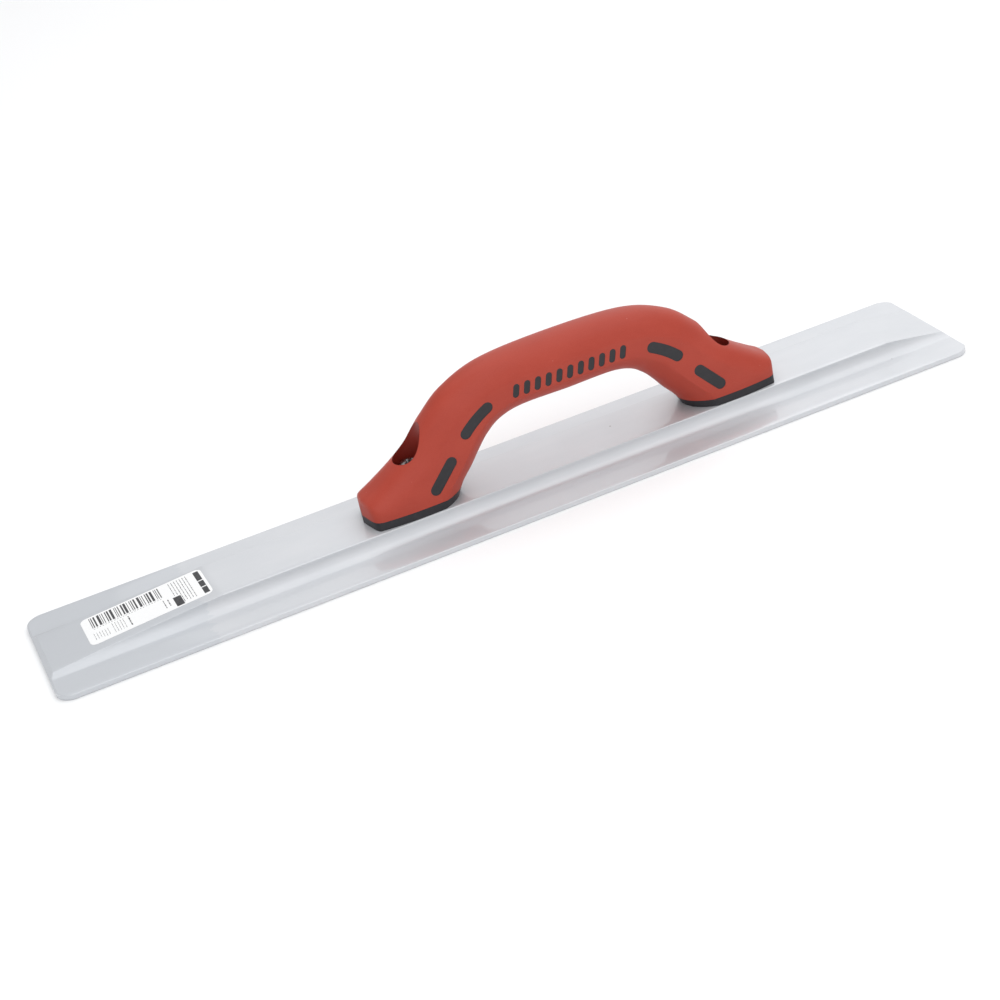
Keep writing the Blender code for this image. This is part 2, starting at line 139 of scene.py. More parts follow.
INNER_LINE = (2, 3)                     # places in a station of the line that has no corner
CORNER_SPAN = 0.16                      # how far the blunt foot's top edge is rounded, in stations
LOWER_CREASE_WIDTH = 0.98
PANEL_WIDTH = 0.99                      # where the side panel is widest, between its creases
RING_STEPS = 12
DOME_POINTS = 16
PANEL_POINTS = 10
UNDER_POINTS = 14

LOWER_BAR = ((-81.4, 12.2), (-70.8, 23.6), 3.05)
UPPER_BAR = ((-60.0, 35.7), (-53.8, 40.9), (-46.6, 45.3), 3.05)
ROW_BAR_COUNT = 11
ROW_BAR_PITCH = 6.0 * MM
ROW_BAR_HEIGHT = 7.4 * MM
ROW_BAR_HALF_WIDTH = 1.7 * MM
ROW_BAR_Z = 48.8 * MM
ROW_BAR_LEAN = 0.9 * MM

CAMERA_PLACE = Vector((-0.2793, -0.7997, 0.4957))
CAMERA_AIM = Vector((-0.0114, -0.0110, 0.0))
CAMERA_ROLL = radians(-11.04)
CAMERA_LENS = 68.4
CAMERA_SHIFT = -0.0058

FLOOR_REACH = 6.0


# ---------------------------------------------------------------- mesh helpers

def new_object(name, mesh):
    made = bpy.data.objects.new(name, mesh)
    bpy.context.scene.collection.objects.link(made)
    return made


def mesh_from(bm, name):
    bmesh.ops.recalc_face_normals(bm, faces=bm.faces)
    mesh = bpy.data.meshes.new(name)
    bm.to_mesh(mesh)
    bm.free()
    return mesh


def loft(name, rings):
    """A closed body through rings that all have the same number of points."""
    bm = bmesh.new()
    made = [[bm.verts.new(point) for point in ring] for ring in rings]
    count = len(rings[0])
    for near, far in zip(made, made[1:]):
        for i in range(count):
            j = (i + 1) % count
            bm.faces.new((near[i], near[j], far[j], far[i]))
    bm.faces.new(made[0])
    bm.faces.new(made[-1])
    return mesh_from(bm, name)


def prism(name, outline, axis, low, high):
    """A closed body: a flat outline drawn along one axis (0, 1 or 2) from low to high."""
    def place(point, level):
        u, v = point
        return ((level, u, v), (u, level, v), (u, v, level))[axis]
    return loft(name, [[place(point, level) for point in outline] for level in (low, high)])


def disc_rings(profile, segments, x=0.0):
    """Rings of an upright round body from (radius, z) pairs."""
    return [[(x + r * cos(2 * pi * i / segments), r * sin(2 * pi * i / segments), z)
             for i in range(segments)] for r, z in profile]


def turned(name, profile, segments, x=0.0):
    """A closed ring about an upright axis at x, from a closed (radius, z) outline."""
    bm = bmesh.new()
    columns = []
    for i in range(segments):
        angle = 2 * pi * i / segments
        columns.append([bm.verts.new((x + r * cos(angle), r * sin(angle), z)) for r, z in profile])
    for i, column in enumerate(columns):
        beside = columns[(i + 1) % segments]
        for k in range(len(profile)):
            m = (k + 1) % len(profile)
            bm.faces.new((column[k], beside[k], beside[m], column[m]))
    return mesh_from(bm, name)


def arc(centre, radius, start, end, steps):
    """Points along an arc, in degrees."""
    points = []
    for i in range(steps + 1):
        angle = radians(start + (end - start) * i / steps)
        points.append((centre[0] + radius * cos(angle), centre[1] + radius * sin(angle)))
    return points


def round_rectangle(length, width, radius, steps=8):
    x, y = length / 2 - radius, width / 2 - radius
    points = []
    for cx, cy, start in ((x, y, 0), (-x, y, 90), (-x, -y, 180), (x, -y, 270)):
        points += arc((cx, cy), radius, start, start + 90, steps)
    return points


def boolean(thing, mesh, operation):
    """Apply one exact Boolean with a mesh that is then dropped."""
    cutter = new_object("cutter", mesh)
    modifier = thing.modifiers.new("cut", "BOOLEAN")
    modifier.object = cutter
    modifier.operation = operation
    modifier.solver = "EXACT"
    bpy.context.view_layer.update()
    shaped = thing.evaluated_get(bpy.context.evaluated_depsgraph_get())
    result = bpy.data.meshes.new_from_object(shaped)
    thing.modifiers.clear()
    thing.data = result
    bpy.data.objects.remove(cutter)


def several(meshes, name):
    """Separate closed bodies in one mesh."""
    bm = bmesh.new()
    for mesh in meshes:
        bm.from_mesh(mesh)
        bpy.data.meshes.remove(mesh)
    return mesh_from(bm, name)


def shade(thing, sharp_angle=30):
    thing.data.shade_smooth()
    thing.data.set_sharp_from_angle(angle=radians(sharp_angle))


def finish_piece(piece, material, slot, *nodes):
    """Give a piece its material, its body and the CAD nodes it stands for. The slot argument is not used."""
    piece.data.materials.clear()
    piece.data.materials.append(material)
    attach(piece, "root")
    if nodes:
        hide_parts(*nodes)
    return piece


# ---------------------------------------------------------------- material helpers

class Nodes:
    """Short hand for building one node material."""

    def __init__(self, name, colour, roughness, metallic):
        self.material = bpy.data.materials.new(name)
        self.material.use_nodes = True
        self.tree = self.material.node_tree
        self.shader = self.tree.nodes["Principled BSDF"]
        self.shader.inputs["Base Color"].default_value = (*colour, 1)
        self.shader.inputs["Roughness"].default_value = roughness
        self.shader.inputs["Metallic"].default_value = metallic
        self.coordinates = self.tree.nodes.new("ShaderNodeTexCoord")

    def link(self, source, target):
        self.tree.links.new(source, target)
        return source

    def stretched(self, scale):
        """Object coordinates with their own scale on each axis."""
        mapping = self.tree.nodes.new("ShaderNodeMapping")
        mapping.inputs["Scale"].default_value = scale
        self.link(self.coordinates.outputs["Object"], mapping.inputs["Vector"])
        return mapping.outputs["Vector"]

    def noise(self, scale, detail=3.0, rough=0.55):
        node = self.tree.nodes.new("ShaderNodeTexNoise")
        node.inputs["Scale"].default_value = 1.0
        node.inputs["Detail"].default_value = detail
        node.inputs["Roughness"].default_value = rough
        self.link(self.stretched(scale), node.inputs["Vector"])
        return node.outputs["Fac"]

    def spots(self, scale, low, high):
        """1 at the middle of scattered cells, falling to 0 by the distance high."""
        node = self.tree.nodes.new("ShaderNodeTexVoronoi")
        node.inputs["Scale"].default_value = 1.0
        self.link(self.stretched(scale), node.inputs["Vector"])
        return self.ramp(node.outputs["Distance"], low, high, 1.0, 0.0)

    def ramp(self, value, low, high, out_low, out_high):
        node = self.tree.nodes.new("ShaderNodeMapRange")
        node.inputs["From Min"].default_value = low
        node.inputs["From Max"].default_value = high
        node.inputs["To Min"].default_value = out_low
        node.inputs["To Max"].default_value = out_high
        self.link(value, node.inputs["Value"])
        return node.outputs["Result"]

    def maths(self, operation, first, second):
        node = self.tree.nodes.new("ShaderNodeMath")
        node.operation = operation
        for value, socket in ((first, node.inputs[0]), (second, node.inputs[1])):
            if isinstance(value, (int, float)):
                socket.default_value = value
            else:
                self.link(value, socket)
        return node.outputs[0]

    def axis(self, letter):
        node = self.tree.nodes.new("ShaderNodeSeparateXYZ")
        self.link(self.coordinates.outputs["Object"], node.inputs[0])
        return node.outputs[letter]

    def mix(self, factor, first, second):
        node = self.tree.nodes.new("ShaderNodeMix")
        node.data_type = "RGBA"
        self.link(factor, node.inputs["Factor"])
        for value, socket in ((first, node.inputs[6]), (second, node.inputs[7])):
            if isinstance(value, tuple):
                socket.default_value = (*value, 1)
            else:
                self.link(value, socket)
        return node.outputs[2]

    def bump(self, height, strength, distance, after=None):
        node = self.tree.nodes.new("ShaderNodeBump")
        node.inputs["Strength"].default_value = strength
        node.inputs["Distance"].default_value = distance
        self.link(height, node.inputs["Height"])
        if after:
            self.link(after, node.inputs["Normal"])
        return node.outputs["Normal"]

    def use(self, socket, value):
        if isinstance(value, (int, float)):
            self.shader.inputs[socket].default_value = value
        else:
            self.link(value, self.shader.inputs[socket])


def magnesium_material():
    """Satin extruded magnesium: die lines along X, milled ramps, light smudges, specks and nicks."""
    n = Nodes("magnesium", (0.61, 0.625, 0.655), 0.5, 0.4)
    x = n.axis("X")
    lines = n.noise((9, 1500, 1500), 3)
    mottle = n.noise((22, 60, 60), 4)
    smudge = n.noise((55, 80, 80), 5, 0.6)
    edge_wander = n.noise((60, 420, 60), 3)
    toe_start = blade_low.x + TOE_RAMP[0]
    ragged = n.maths("ADD", x, n.ramp(edge_wander, 0.3, 0.7, -2.5 * MM, 2.5 * MM))
    worked = n.ramp(ragged, toe_start - 10.6 * MM, toe_start - 9.8 * MM, 1.0, 0.0)
    plain = n.mix(n.ramp(mottle, 0.3, 0.7, 0.0, 1.0), (0.595, 0.61, 0.635), (0.63, 0.64, 0.662))
    cooler = n.mix(worked, plain, (0.575, 0.594, 0.622))
    specks = n.spots((95, 95, 95), 0.03, 0.055)
    rare = n.ramp(n.noise((31, 37, 31), 2), 0.58, 0.62, 0.0, 0.85)
    n.use("Base Color", n.mix(n.maths("MULTIPLY", specks, rare), cooler, (0.22, 0.21, 0.2)))
    rough = n.maths("ADD", n.ramp(smudge, 0.3, 0.75, 0.46, 0.55), n.ramp(lines, 0.3, 0.7, -0.02, 0.03))
    n.use("Roughness", rough)
    n.use("Coat Weight", 0.85)
    n.use("Coat Roughness", 0.05)
    grain = n.noise((420, 1400, 900), 2)
    normal = n.bump(lines, 0.10, 0.04 * MM)
    normal = n.bump(grain, 0.06, 0.03 * MM, normal)
    n.use("Normal", n.bump(n.maths("MULTIPLY", specks, rare), 0.4, -0.1 * MM, normal))
    return n.material


def painted_well_shade(n):
    """Painted shade mask: 1 on the walls of both screw wells, which are darkened, 0 on the rest of the grip.
    """
    y = n.axis("Y")
    across = n.maths("MULTIPLY", y, y)
    inside = None
    for x in screw_places():
        along = n.maths("SUBTRACT", n.axis("X"), x)
        away = n.maths("ADD", n.maths("MULTIPLY", along, along), across)
        well = n.ramp(away, (WELL_RADIUS + 0.05 * MM) ** 2, (WELL_RADIUS + 0.25 * MM) ** 2, 1.0, 0.0)
        inside = well if inside is None else n.maths("MAXIMUM", inside, well)
    return inside


def elastomer_material():
    """Brick red soft grip: fine matt grain, faint flow and handling marks, and painted shade that darkens
    the screw wells' walls.
    """
    n = Nodes("grip_elastomer", (0.40, 0.045, 0.03), 0.48, 0.0)
    flow = n.noise((30, 70, 45), 4)
    grain = n.noise((1900, 1900, 1900), 2)
    dust = n.spots((260, 260, 260), 0.04, 0.10)
    few = n.ramp(n.noise((70, 70, 70), 2), 0.60, 0.68, 0.0, 0.5)
    body = n.mix(n.ramp(flow, 0.3, 0.7, 0.0, 1.0), (0.375, 0.038, 0.019), (0.415, 0.048, 0.026))
    speck = n.mix(n.ramp(grain, 0.35, 0.75, 0.0, 0.10), body, (0.55, 0.11, 0.07))
    dusted = n.mix(n.maths("MULTIPLY", dust, few), speck, (0.72, 0.40, 0.36))
    # Painted shade: the walls of the screw wells get a darker red than the rest of the grip.
    n.use("Base Color", n.mix(painted_well_shade(n), dusted, (0.23, 0.018, 0.010)))
    n.use("Roughness", n.ramp(flow, 0.25, 0.75, 0.40, 0.50))
    n.use("Specular IOR Level", 0.36)
    normal = n.bump(grain, 0.16, 0.05 * MM)
    n.use("Normal", n.bump(n.noise((140, 140, 140), 3), 0.10, 0.25 * MM, normal))
    return n.material


def core_material():
    """Hard black plastic with a fine spark-eroded grain and pale scuffs."""
    n = Nodes("core_plastic", (0.015, 0.014, 0.017), 0.45, 0.0)
    grain = n.noise((1500, 1500, 1500), 2)
    wear = n.noise((210, 260, 260), 5, 0.65)
    scuffed = n.ramp(wear, 0.45, 0.8, 0.0, 0.6)
    n.use("Base Color", n.mix(scuffed, (0.009, 0.008, 0.011), (0.026, 0.024, 0.029)))
    n.use("Roughness", n.ramp(wear, 0.3, 0.75, 0.36, 0.52))
    n.use("Normal", n.bump(grain, 0.22, 0.05 * MM))
    return n.material


def steel_material():
    """Bright zinc plate, faintly blotched, with turning marks."""
    n = Nodes("plated_steel", (0.66, 0.66, 0.67), 0.24, 1.0)
    blotch = n.noise((420, 420, 420), 3)
    n.use("Base Color", n.mix(n.ramp(blotch, 0.3, 0.7, 0.0, 1.0), (0.34, 0.35, 0.37), (0.47, 0.46, 0.44)))
    n.use("Roughness", n.ramp(blotch, 0.3, 0.75, 0.18, 0.34))
    n.use("Normal", n.bump(n.noise((900, 900, 5200), 2), 0.2, 0.03 * MM))
    return n.material


def paper_material():
    """White coated label stock with a faint fibre."""
    n = Nodes("label_paper", (0.88, 0.88, 0.88), 0.4, 0.0)
    fibre = n.noise((900, 1500, 900), 4, 0.7)
    n.use("Base Color", n.mix(n.ramp(fibre, 0.3, 0.7, 0.0, 1.0), (0.86, 0.86, 0.86), (0.92, 0.92, 0.915)))
    n.use("Roughness", n.ramp(fibre, 0.3, 0.7, 0.34, 0.46))
    n.use("Normal", n.bump(fibre, 0.12, 0.03 * MM))
    return n.material


def ink_material():
    """Thermal print: near black, slightly uneven."""
    n = Nodes("label_ink", (0.02, 0.02, 0.022), 0.5, 0.0)
    patch = n.noise((700, 1100, 700), 3)
    n.use("Base Color", n.mix(n.ramp(patch, 0.3, 0.8, 0.0, 1.0), (0.015, 0.015, 0.017), (0.09, 0.09, 0.095)))
    n.use("Roughness", n.ramp(patch, 0.3, 0.7, 0.42, 0.6))
    return n.material


# ---------------------------------------------------------------- blade

def ramp_height(x):
    """Height of the land at x, with both milled ramps."""
    height = LAND_Z
    for edge, (length, end_height) in ((x - blade_low.x, TOE_RAMP), (blade_high.x - x, HEEL_RAMP)):
        if edge < length:
            height = end_height + (LAND_Z - end_height) * edge / length
    return height


def half_width(x):
    """Half width of the blade's plan at x, with round corners."""
    full = BLADE_WIDTH / 2
    into = abs(x) - (BLADE_LENGTH / 2 - CORNER)
    if into <= 0:
        return full
    return full - CORNER + sqrt(max(0.0, CORNER ** 2 - min(into, CORNER) ** 2))


def blade_section(x):
    """One (y, z) outline of the blade, drawn for +Y from the land's middle to the sole and mirrored."""
    top, half = ramp_height(x), half_width(x)
    rim = LAND_EDGE if top >= LAND_Z - 1e-7 else MILLED_EDGE
    centre_y, centre_z = LAND_HALF + ROOT_FILLET, FLANGE + ROOT_FILLET

    def wall(z):
        if z >= centre_z:
            return LAND_HALF
        return centre_y - sqrt(ROOT_FILLET ** 2 - (centre_z - z) ** 2)

    rim_out = wall(top)
    rim_low = top - rim
    side = [((rim_out - rim) * i / 6, top) for i in range(6)]
    corner = (Vector((rim_out - rim, top)), Vector((rim_out, top)), Vector((wall(rim_low), rim_low)))
    for i in range(5):
        t = i / 4
        side.append(tuple(corner[0] * (1 - t) ** 2 + corner[1] * 2 * t * (1 - t) + corner[2] * t ** 2))
    start = atan2(min(rim_low, centre_z) - centre_z, wall(rim_low) - centre_y)
    start = start if start < 0 else -pi
    for i in range(1, 19):
        angle = start + (-pi / 2 - start) * i / 18
        side.append((centre_y + ROOT_FILLET * cos(angle), centre_z + ROOT_FILLET * sin(angle)))
    for i in range(1, 5):
        side.append((centre_y + (half - TOP_EDGE - centre_y) * i / 5, FLANGE))
    side += arc((half - TOP_EDGE, FLANGE - TOP_EDGE), TOP_EDGE, 90, 0, 5)
    side += arc((half - SOLE_EDGE, SOLE_EDGE), SOLE_EDGE, 0, -90, 3)
    side += [((half - SOLE_EDGE) * (1 - i / 4), 0.0) for i in range(1, 5)]
    into = BLADE_LENGTH / 2 - abs(x)
    floor = SOLE_EDGE - sqrt(SOLE_EDGE ** 2 - max(0.0, SOLE_EDGE - into) ** 2)
    side = [(y, max(floor, min(z, END_FACE + into))) for y, z in side]
    return side + [(-y, z) for y, z in side[-2:0:-1]]


def blade_stations():
    """Places along the blade: close together at the ends, the corners and the ramps' starts."""
    places = []
    for side, (length, _) in ((-1, TOE_RAMP), (1, HEEL_RAMP)):
        end = side * BLADE_LENGTH / 2
        near = [0.0, 0.05, 0.12, 0.22, 0.4, 0.6, 0.79, 0.81, 1.1, 1.5, 2.0, 2.4, 2.6, 2.8, 3.1]
        places += [end - side * step * MM for step in near]
        for i in range(4, 9):
            places.append(end - side * CORNER * (1 - cos(pi / 2 * i / 8)))
        kink = end - side * length
        places += [kink + shift * MM for shift in (-1.5, -0.15, 0.15, 1.5)]
        for i in range(1, 6):
            places.append(end - side * (CORNER + (length - CORNER) * i / 6))
    middle = 16
    low, high = blade_low.x + TOE_RAMP[0] + 3 * MM, blade_high.x - HEEL_RAMP[0] - 3 * MM
    places += [low + (high - low) * i / middle for i in range(middle + 1)]
    return sorted(places)


def make_blade(material):
    rings = [[(x, y, z) for y, z in blade_section(x)] for x in blade_stations()]
    blade = new_object("blade_surface", loft("blade_surface", rings))
    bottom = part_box("screw_toe")[0].z - HOLE_SPARE
    for x in screw_places():
        hole = disc_rings([(HOLE_POINT_RADIUS, bottom - MM), (SCREW_HOLE_RADIUS, bottom),
                           (SCREW_HOLE_RADIUS, LAND_Z + MM)], 40, x)
        boolean(blade, loft("hole", hole), "DIFFERENCE")
    shade(blade, 25)
    return finish_piece(blade, material, "magnesium", "blade")


# ---------------------------------------------------------------- handle

def station_rows():
    half = [[v * MM for v in row[:6]] + list(row[6:]) for row in STATIONS]
    mirrored = [[-row[0], row[1], -row[2]] + row[3:] for row in reversed(half[:-1])]
    return half + mirrored


def curve_row(rows, s):
    """Row at place s: a smooth curve, but for the outer line's corner on each blunt foot end."""
    last = len(rows) - 1
    index = min(int(s), last - 1)
    t = s - index
    a, b = rows[index], rows[index + 1]
    before = rows[max(index - 1, 0)]
    after = rows[min(index + 2, last)]
    values = []
    for k, (p0, p, q, q1) in enumerate(zip(before, a, b, after)):
        outer = k not in INNER_LINE
        leave = q - p if index == 0 or (index == 1 and outer) else (q - p0) / 2
        arrive = q - p if index == last - 1 or (index == last - 2 and outer) else (q1 - p) / 2
        if outer and index in (0, last - 1):
            leave = arrive = q - p
        values.append((2 * t ** 3 - 3 * t ** 2 + 1) * p + (t ** 3 - 2 * t ** 2 + t) * leave
                      + (3 * t ** 2 - 2 * t ** 3) * q + (t ** 3 - t ** 2) * arrive)
    return values


def handle_row(rows, s):
    """curve_row with the top edge of each blunt foot end rounded over."""
    last = len(rows) - 1
    for corner in (1, last - 1):
        away = (s - corner) / CORNER_SPAN
        if abs(away) < 1:
            t = (away + 1) / 2
            low, high = curve_row(rows, corner - CORNER_SPAN), curve_row(rows, corner + CORNER_SPAN)
            return [p * (1 - t) ** 2 + q * 2 * t * (1 - t) + r * t ** 2
                    for p, q, r in zip(low, rows[corner], high)]
    return curve_row(rows, s)


def half_section(upper, upper_width, lower, crown, under, square):
    """(along, across) points from the outer line round the side to the inner line, both 0 to 1 wide."""
    points = []
    low = upper - crown
    limit = (crown / (1 - low)) ** (square / 2)
    last_angle = atan2(sqrt(1 - limit ** 2), limit)
    widest = sin(last_angle) ** (2 / square)
    for i in range(DOME_POINTS + 1):
        angle = last_angle * i / DOME_POINTS
        along = low + (1 - low) * cos(angle) ** (2 / square)
        points.append((along, upper_width * sin(angle) ** (2 / square) / widest))
    bulge = PANEL_WIDTH - (upper_width + LOWER_CREASE_WIDTH) / 2
    for i in range(1, PANEL_POINTS):
        t = i / PANEL_POINTS
        across = upper_width + (LOWER_CREASE_WIDTH - upper_width) * t + 4 * t * (1 - t) * bulge
        points.append((upper + (lower - upper) * t, across))
    high = lower + under
    start = atan2(under / (1 + high), sqrt(1 - (under / (1 + high)) ** 2))
    for i in range(UNDER_POINTS + 1):
        angle = start + (pi / 2 - start) * i / UNDER_POINTS
        across = LOWER_CREASE_WIDTH * max(0.0, cos(angle)) / cos(start)
        points.append((high - (1 + high) * sin(angle), across))
    return points


def section(row, inset, nose):
    """One ring of the handle in its own frame."""
    ox, oz, ix, iz, width, droop, *shape = row
    middle = Vector(((ox + ix) / 2, 0, (oz + iz) / 2))
    reach = Vector(((ox - ix) / 2, 0, (oz - iz) / 2))
    direction = reach.normalized()
    depth, breadth = reach.length - inset, width - inset
    side = half_section(*shape)
    outline = side + [(along, -across) for along, across in side[-2:0:-1]]
    ring = []
    for along, across in outline:
        bow = nose * max(0.0, along) * abs(across)
        fall = droop * max(0.0, along) * across ** 4
        ring.append(middle + direction * (depth * along - bow) + Vector((0, breadth * across, -fall)))
    return ring


def handle_rings(inset=0.0, steps=RING_STEPS, drop=0.0):
    """Rings of the whole handle in the world, shrunk by inset; drop lengthens both feet downwards."""
    rows = station_rows()
    spans = len(rows) - 1
    rings = []
    for k in range(spans * steps + 1):
        s = k / steps
        nose = FOOT_NOSE * max(0.0, 1 - min(s, spans - s) / 2)
        rings.append(section(handle_row(rows, s), inset, nose))
    if drop:
        rings.insert(0, [point - Vector((0, 0, drop)) for point in rings[0]])
        rings.append([point - Vector((0, 0, drop)) for point in rings[-1]])
    shift = Vector((HANDLE_X, 0, LAND_Z))
    return [[point + shift for point in ring] for ring in rings]


def slab(low, high):
    """A box across both feet between two heights above the land."""
    near, far = HANDLE_X - HALF_SPAN, HANDLE_X + HALF_SPAN
    outline = [(near, -HALF_SPREAD), (far, -HALF_SPREAD), (far, HALF_SPREAD), (near, HALF_SPREAD)]
    return prism("slab", outline, 2, LAND_Z + low, LAND_Z + high)


def bar_outline(points, half_width_, end_steps=12):
    """A bar with round ends around a smooth centre line of (x, z) points."""
    line = [Vector(point) for point in points]
    if len(line) == 3:
        line = [line[0] * (1 - t) ** 2 + (line[1] * 2 - (line[0] + line[2]) / 2) * 2 * t * (1 - t)
                + line[2] * t ** 2 for t in (i / 8 for i in range(9))]
    first = atan2(*(line[1] - line[0]).yx)
    final = atan2(*(line[-1] - line[-2]).yx)
    left, right = [], []
    for i in range(1, len(line) - 1):
        along = (line[i + 1] - line[i - 1]).normalized()
        beside = Vector((-along.y, along.x)) * half_width_
        left.append(tuple(line[i] + beside))
        right.append(tuple(line[i] - beside))
    outline = []
    for i in range(end_steps + 1):
        angle = first + pi / 2 + pi * i / end_steps
        outline.append((line[0].x + half_width_ * cos(angle), line[0].y + half_width_ * sin(angle)))
    outline += right
    for i in range(end_steps + 1):
        angle = final - pi / 2 + pi * i / end_steps
        outline.append((line[-1].x + half_width_ * cos(angle), line[-1].y + half_width_ * sin(angle)))
    return outline + left[::-1]


def bar_lines():
    """Centre line and half width of every inlay bar, as the CAD model has them."""
    bars = []
    for *points, width in (LOWER_BAR, UPPER_BAR):
        for side in (1, -1):
            bars.append(([(HANDLE_X + side * x * MM, LAND_Z + z * MM) for x, z in points], width * MM))
    rise = ROW_BAR_HEIGHT / 2 - ROW_BAR_HALF_WIDTH
    for i in range(ROW_BAR_COUNT):
        x = HANDLE_X + (i - (ROW_BAR_COUNT - 1) / 2) * ROW_BAR_PITCH
        z = LAND_Z + ROW_BAR_Z
        ends = [(x - ROW_BAR_LEAN / 2, z - rise), (x + ROW_BAR_LEAN / 2, z + rise)]
        bars.append((ends, ROW_BAR_HALF_WIDTH))
    return bars


def bar_prisms(shrink, spans):
    """All bars as prisms across the handle, for each (low, high) span in Y."""
    return several([prism("bar", bar_outline(points, width - shrink), 1, low, high)
                    for points, width in bar_lines() for low, high in spans], "bars")


def screw_places():
    return [(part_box("screw_" + end)[0].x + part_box("screw_" + end)[1].x) / 2 for end in SCREW_ENDS]


def make_grip_skin(material):
    skin = new_object("grip_soft_skin", loft("grip_soft_skin", handle_rings()))
    cavity = new_object("cavity", loft("cavity", handle_rings(SKIN_THICKNESS, 4, SKIRT)))
    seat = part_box("washer_toe")[0].z
    liner = WELL_RADIUS + LINER
    for x in screw_places():
        boolean(cavity, loft("liner", disc_rings([(liner, seat), (liner, WELL_TOP)], 48, x)), "DIFFERENCE")
    boolean(skin, cavity.data, "DIFFERENCE")
    bpy.data.objects.remove(cavity)
    boolean(skin, slab(-BELOW_LAND, SKIN_BOTTOM), "DIFFERENCE")
    for x in screw_places():
        well = disc_rings([(WELL_RADIUS, 0.0), (WELL_RADIUS, WELL_TOP)], 72, x)
        boolean(skin, loft("well", well), "DIFFERENCE")
    windows = ((BAR_INNER, BAR_OUTER), (-BAR_OUTER, -BAR_INNER))
    boolean(skin, bar_prisms(0, windows), "DIFFERENCE")
    shade(skin, 28)
    return finish_piece(skin, material, "grip_elastomer", "grip_skin")


def make_core(material):
    core = new_object("handle_hard_core", loft("core", handle_rings(SKIN_THICKNESS + CORE_GAP, 4)))
    boolean(core, slab(-BELOW_LAND, CORE_LIFT), "DIFFERENCE")
    feet = new_object("feet", loft("feet", handle_rings()))
    boolean(feet, slab(FOOT_LIFT, SKIN_BOTTOM - HAIR_GAP), "INTERSECT")
    boolean(core, feet.data, "UNION")
    bpy.data.objects.remove(feet)
    inlays = new_object("inlays", loft("inlays", handle_rings(BAR_RECESS)))
    boolean(inlays, bar_prisms(HAIR_GAP, ((-BAR_OUTER, BAR_OUTER),)), "INTERSECT")
    boolean(core, inlays.data, "UNION")
    bpy.data.objects.remove(inlays)
    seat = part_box("washer_toe")[0].z
    outer = WELL_RADIUS + LINER + HAIR_GAP
    for x in screw_places():
        pocket = disc_rings([(outer, seat - SEAT_SLACK), (outer, WELL_TOP)], 48, x)
        boolean(core, loft("seat", pocket), "DIFFERENCE")
        hole = disc_rings([(WASHER_HOLE_RADIUS, 0.0), (WASHER_HOLE_RADIUS, seat + MM)], 40, x)
        boolean(core, loft("hole", hole), "DIFFERENCE")
    shade(core, 28)
    return finish_piece(core, material, "core_plastic", "handle_core")


# ---------------------------------------------------------------- fasteners

def make_washers(material):
    for end in SCREW_ENDS:
        low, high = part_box("washer_" + end)
        outer, inner, edge = (high.x - low.x) / 2, WASHER_HOLE_RADIUS, WASHER_EDGE
        bottom, top = low.z, high.z
        profile = [(inner, bottom + edge), (inner + edge, bottom),
                   (outer - edge, bottom), (outer, bottom + edge),
                   (outer, top - edge), (outer - edge, top),
                   (inner + edge, top), (inner, top - edge)]
        washer = new_object("flat_washer_" + end, turned("washer", profile, 72, (low.x + high.x) / 2))
        shade(washer, 35)
        finish_piece(washer, material, "plated_steel", "washer_" + end)


def screw_profile(low, high):
    """(radius, z) of a pan head machine screw, tip to crown, with thread ridges on the shank."""
    shank, crest, pitch = THREAD_ROOT, THREAD_CREST, THREAD_PITCH
    head_low, head_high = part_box("screw_toe")
    head = (head_high.x - head_low.x) / 2
    under = high - HEAD_HEIGHT
    profile = [(TIP_RADIUS, low), (shank, low + TIP_HEIGHT)]
    z = low + MM
    while z + pitch < under - PLAIN_SHANK:
        profile += [(shank, z), (crest, z + pitch * 0.45), (crest, z + pitch * 0.55), (shank, z + pitch)]
        z += pitch
    profile += [(shank, under), (head - HEAD_EDGE, under),
                (head, under + HEAD_EDGE), (head, under + HEAD_SIDE)]
    for i in range(1, HEAD_DOME_STEPS + 1):
        angle = HEAD_DOME_ANGLE * i / HEAD_DOME_STEPS
        profile.append((head * (HEAD_FLAT + (1 - HEAD_FLAT) * cos(angle)),
                        under + HEAD_SIDE + HEAD_DOME * sin(angle) / sin(HEAD_DOME_ANGLE)))
    return profile


def make_screws(material):
    for end in SCREW_ENDS:
        low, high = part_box("screw_" + end)
        x = (low.x + high.x) / 2
        screw = new_object("pan_screw_" + end,
                           loft("screw", disc_rings(screw_profile(low.z, high.z), 64, x)))
        span, wide = RECESS_REACH, RECESS_HALF_WIDTH
        turn = Matrix.Translation((x, 0, 0)) @ Matrix.Rotation(RECESS_TURN, 4, "Z")
        for quarter in (0, 1):
            along = [(-span, -wide), (span, -wide), (span, wide), (-span, wide)]
            deep = [(u * RECESS_TAPER[0], v * RECESS_TAPER[1]) for u, v in along]
            rings = [[turn @ Matrix.Rotation(quarter * pi / 2, 4, "Z") @ Vector((u, v, level))
                      for u, v in outline] for outline, level in
                     ((deep, high.z - RECESS_DEPTH), (along, high.z - RECESS_LIP), (along, high.z + MM))]
            boolean(screw, loft("recess", rings), "DIFFERENCE")
        shade(screw, 32)
        finish_piece(screw, material, "plated_steel", "screw_" + end)


# ---------------------------------------------------------------- label

LABEL_SIZE = (63.5 * MM, 25.4 * MM)
LABEL_CORNER = 3.2 * MM
LABEL_TURN = radians(0.9)
LABEL_THICKNESS = 0.08 * MM
LABEL_LIFT = 0.02 * MM
INK = 0.02 * MM                         # the print's height above the label, and its depth in it


def label_matrix():
    """From the label's own flat frame to the toe ramp."""
    low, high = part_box("label")
    x, y = (low.x + high.x) / 2, (low.y + high.y) / 2
    fall = (LAND_Z - TOE_RAMP[1]) / TOE_RAMP[0]
    place = Matrix.Translation((x, y, ramp_height(x) + LABEL_LIFT))
    return place @ Matrix.Rotation(-atan2(fall, 1), 4, "Y") @ Matrix.Rotation(LABEL_TURN, 4, "Z")


